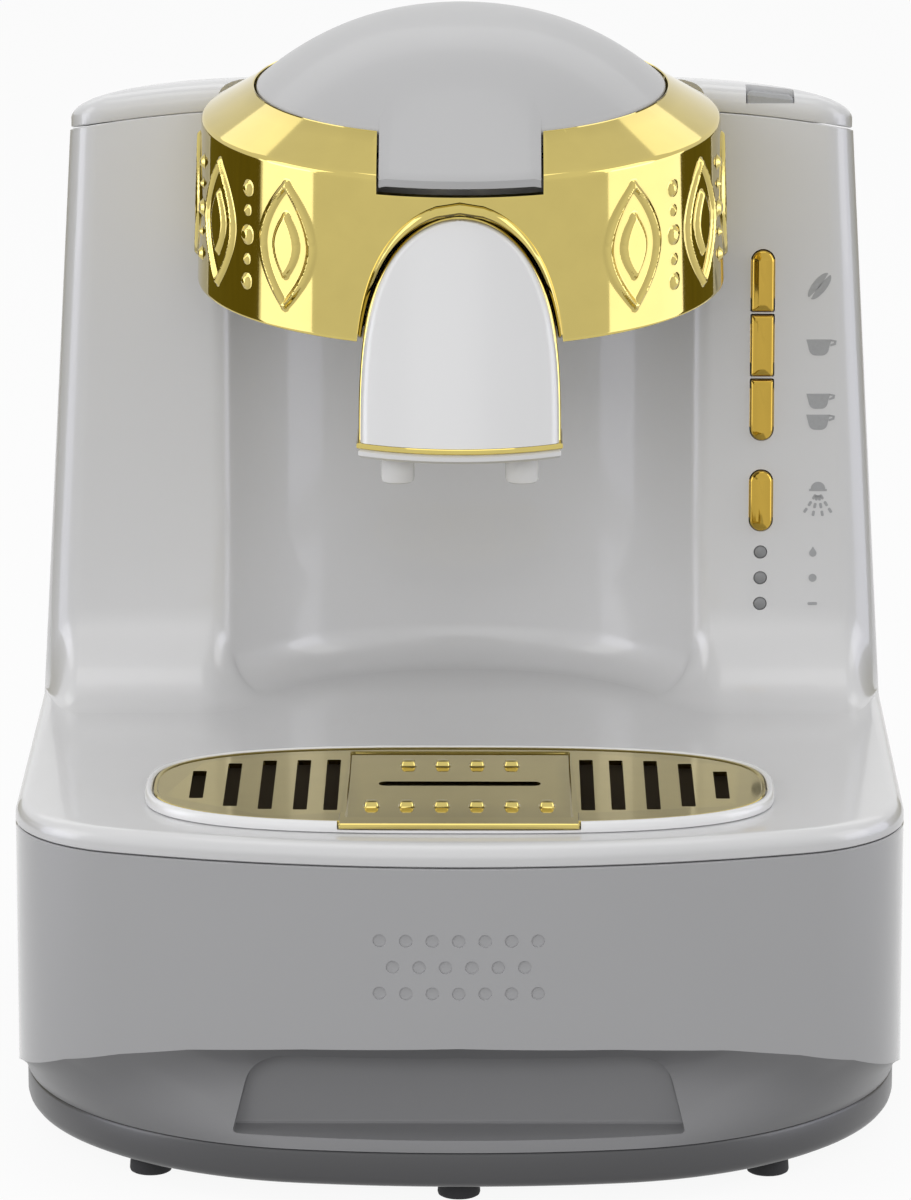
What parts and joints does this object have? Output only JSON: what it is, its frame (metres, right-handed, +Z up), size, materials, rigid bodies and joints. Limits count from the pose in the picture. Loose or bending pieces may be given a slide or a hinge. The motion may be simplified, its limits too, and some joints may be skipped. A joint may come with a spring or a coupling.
{
  "type": "electric coffee maker",
  "caption": "Worktop brewer for small cups with a tilted domed head, twin spout, drip tray, lift-out water tank and four push buttons.",
  "frame": {"origin": "on the table under the middle of the base's box", "axes": "+Z up, -Y to the front where the cups stand, +X to the right seen from the front"},
  "size_m": [0.23, 0.265, 0.2898],
  "materials": {
    "shell_white": "gloss",
    "base_grey": "gloss",
    "pan_grey": "satin",
    "gold": "polished",
    "lid_grey": "gloss",
    "spout_white": "gloss",
    "inner_plastic": "matte",
    "rubber": "matte",
    "steel": "brushed",
    "board": "matte",
    "silicone": "matte",
    "tank_clear": "clear",
    "mark_grey": "satin"
  },
  "bodies": {
    "root": {"base_shell": "base_grey", "bottom_pan": "pan_grey", "feet": "rubber", "pan_screws": "steel", "front_housing": "shell_white", "rear_cover": "shell_white", "cover_screws": "steel", "chassis_plate": "inner_plastic", "head_base": "shell_white", "head_ring": "gold", "brew_pot": "steel", "pot_heater": "inner_plastic", "thermostat": "inner_plastic", "coffee_pipe": "steel", "spout_body": "gold", "spout_cover": "spout_white", "spout_trim": "gold", "spout_base": "spout_white", "spout_manifold": "inner_plastic", "nozzles": "spout_white", "button_board": "board", "tact_switches": "inner_plastic", "indicator_lights": "mark_grey", "panel_icons": "mark_grey", "water_pump": "steel", "pump_damper": "rubber", "inlet_hose": "silicone", "outlet_hose": "silicone", "power_board": "board", "buzzer": "inner_plastic", "cord_gland": "rubber", "tank_seat": "inner_plastic", "seat_seal": "rubber", "lid_hinge_pin": "steel"},
    "lid": {"lid_dome": "lid_grey", "lid_liner": "lid_grey", "lid_seal": "silicone", "foam_sensor": "inner_plastic"},
    "tray": {"drip_tray": "spout_white"},
    "grille": {"drip_grille": "gold"},
    "tank": {"water_tank": "tank_clear", "tank_valve": "inner_plastic", "tank_hinge_pin": "steel"},
    "poppet": {"valve_poppet": "inner_plastic"},
    "tank_cover": {"tank_lid": "shell_white", "tank_lid_tab": "mark_grey"},
    "key_slow_brew": {"button_slow_brew": "gold"},
    "key_one_cup": {"button_one_cup": "gold"},
    "key_two_cups": {"button_two_cups": "gold"},
    "key_clean": {"button_clean": "gold"}
  },
  "joints": [
    {"name": "lid_hinge", "type": "hinge", "parent": "root", "child": "lid", "pos_m": [0, 0.05142, 0.27287], "axis": [-1, 0, 0], "range_deg": [0, 80]},
    {"name": "tray_lift", "type": "slide", "parent": "root", "child": "tray", "axis": [0, 0, 1], "range_m": [0, 0.04]},
    {"name": "grille_lift", "type": "slide", "parent": "tray", "child": "grille", "axis": [0, 0, 1], "range_m": [0, 0.025]},
    {"name": "tank_lift", "type": "slide", "parent": "root", "child": "tank", "axis": [0, 0, 1], "range_m": [0, 0.165]},
    {"name": "valve_lift", "type": "slide", "parent": "tank", "child": "poppet", "axis": [0, 0, 1], "range_m": [0, 0.002], "stiffness_N_per_m": 60},
    {"name": "tank_lid_hinge", "type": "hinge", "parent": "tank", "child": "tank_cover", "pos_m": [0, 0.128, 0.2464], "axis": [-1, 0, 0], "range_deg": [0, 75]},
    {"name": "press_slow_brew", "type": "slide", "parent": "root", "child": "key_slow_brew", "axis": [0, 1, 0], "range_m": [0, 0.0015], "stiffness_N_per_m": 400},
    {"name": "press_one_cup", "type": "slide", "parent": "root", "child": "key_one_cup", "axis": [0, 1, 0], "range_m": [0, 0.0015], "stiffness_N_per_m": 400},
    {"name": "press_two_cups", "type": "slide", "parent": "root", "child": "key_two_cups", "axis": [0, 1, 0], "range_m": [0, 0.0015], "stiffness_N_per_m": 400},
    {"name": "press_clean", "type": "slide", "parent": "root", "child": "key_clean", "axis": [0, 1, 0], "range_m": [0, 0.0015], "stiffness_N_per_m": 400}
  ]
}
